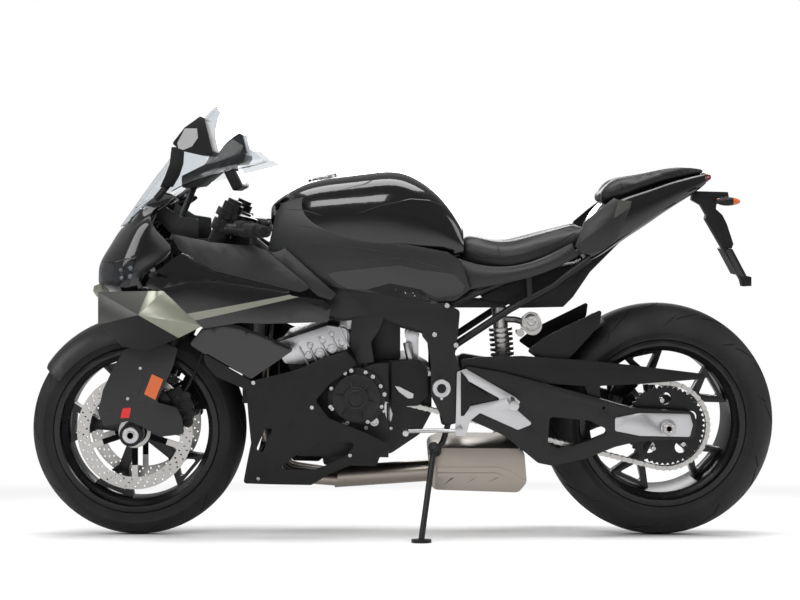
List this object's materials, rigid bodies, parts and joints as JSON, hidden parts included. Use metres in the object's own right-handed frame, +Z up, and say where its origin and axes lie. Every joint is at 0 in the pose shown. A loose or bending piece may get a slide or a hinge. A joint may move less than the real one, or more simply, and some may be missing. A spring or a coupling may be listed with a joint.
{
  "type": "sport motorcycle",
  "caption": "Fully faired sport motorcycle with clip-on bars, twin-spar frame, chain drive and a hinged filler lid, parked leaning on its side stand.",
  "frame": {"origin": "on the ground, under the middle of the parked machine's outline", "axes": "+X forward, +Y to the rider's left, +Z up; the machine leans 11 degrees about X towards +Y"},
  "size_m": [2.0819, 0.8508, 1.2081],
  "materials": {
    "frame_black": "satin black coated aluminium",
    "engine_dark": "dark grey coated castings",
    "bright_alloy": "bare cast alloy",
    "matt_black": "matt black moulded plastic",
    "hot_steel": "heat tinted stainless steel",
    "steel": "brushed steel",
    "gloss_black": "high gloss black lacquer",
    "matt_grey": "satin dark grey lacquer",
    "lamp": "smoked clear lens",
    "clear": "clear moulded screen",
    "cream_metallic": "metallic grey cream lacquer",
    "seat_cover": "grained black seat cover",
    "red_lens": "red lens",
    "fork_metal": "dark anodised",
    "rubber": "moulded rubber",
    "tyre": "black tyre rubber",
    "wheel_black": "satin black cast wheel"
  },
  "bodies": {
    "chassis": {"main_frame": "frame_black", "subframe": "frame_black", "crankcase": "engine_dark", "cylinder_block": "engine_dark", "cylinder_head": "bright_alloy", "engine_covers": "engine_dark", "sprocket_cover": "matt_black", "starter_motor": "bright_alloy", "intake_box": "engine_dark", "exhaust": "hot_steel", "end_can": "steel", "radiator": "matt_black", "side_fairing": "gloss_black", "cockpit_covers": "matt_grey", "lower_fairing": "matt_black", "nose_cowl": "gloss_black", "headlights": "lamp", "windscreen": "clear", "winglets": "cream_metallic", "fuel_tank": "gloss_black", "tank_covers": "matt_grey", "seat": "seat_cover", "pillion_seat": "seat_cover", "tail_cover": "gloss_black", "tail_sides": "matt_grey", "tail_lamp": "red_lens", "undertray": "matt_black", "plate_holder": "matt_black", "mirrors": "matt_black", "instruments": "matt_black", "footrests": "bright_alloy", "pedals": "bright_alloy", "swingarm": "frame_black", "rear_shock": "steel", "rear_axle": "bright_alloy", "chain_guard": "matt_black", "rear_mudguard": "matt_black", "rear_caliper": "fork_metal", "drive_chain": "steel", "front_sprocket": "steel"},
    "steering": {"fork_tubes": "fork_metal", "fork_lowers": "fork_metal", "fork_clamps": "fork_metal", "front_axle": "steel", "front_calipers": "fork_metal", "handlebars": "fork_metal", "grips": "rubber", "hand_controls": "matt_black", "front_mudguard": "matt_grey", "brake_hoses": "rubber"},
    "front_wheel": {"front_tyre": "tyre", "front_rim": "wheel_black", "front_brake_discs": "steel"},
    "rear_wheel": {"rear_tyre": "tyre", "rear_rim": "wheel_black", "rear_brake_disc": "steel", "rear_sprocket": "steel"},
    "stand": {"side_stand": "frame_black"},
    "filler_lid": {"fuel_cap": "bright_alloy"}
  },
  "joints": [
    {"name": "steering", "type": "hinge", "parent": "chassis", "child": "steering", "pos_m": [0.48034, -0.0545, 0.79965], "axis": [-0.4051, 0.1744, 0.8975], "range_deg": [-25, 25]},
    {"name": "front_wheel_spin", "type": "hinge", "parent": "steering", "child": "front_wheel", "pos_m": [0.741, -0.15247, 0.29566], "axis": [0, 0.9816, -0.1908], "continuous": true},
    {"name": "rear_wheel_spin", "type": "hinge", "parent": "chassis", "child": "rear_wheel", "pos_m": [-0.716, -0.14755, 0.32094], "axis": [0, 0.9816, -0.1908], "continuous": true},
    {"name": "side_stand_fold", "type": "hinge", "parent": "chassis", "child": "stand", "pos_m": [-0.0845, -0.0108, 0.23838], "axis": [0.2394, 0.8803, 0.4096], "range_deg": [0, 104.1]},
    {"name": "filler_lid_hinge", "type": "hinge", "parent": "chassis", "child": "filler_lid", "pos_m": [0.26075, -0.02005, 0.97689], "axis": [0, 0.9816, -0.1908], "range_deg": [0, 95]}
  ]
}
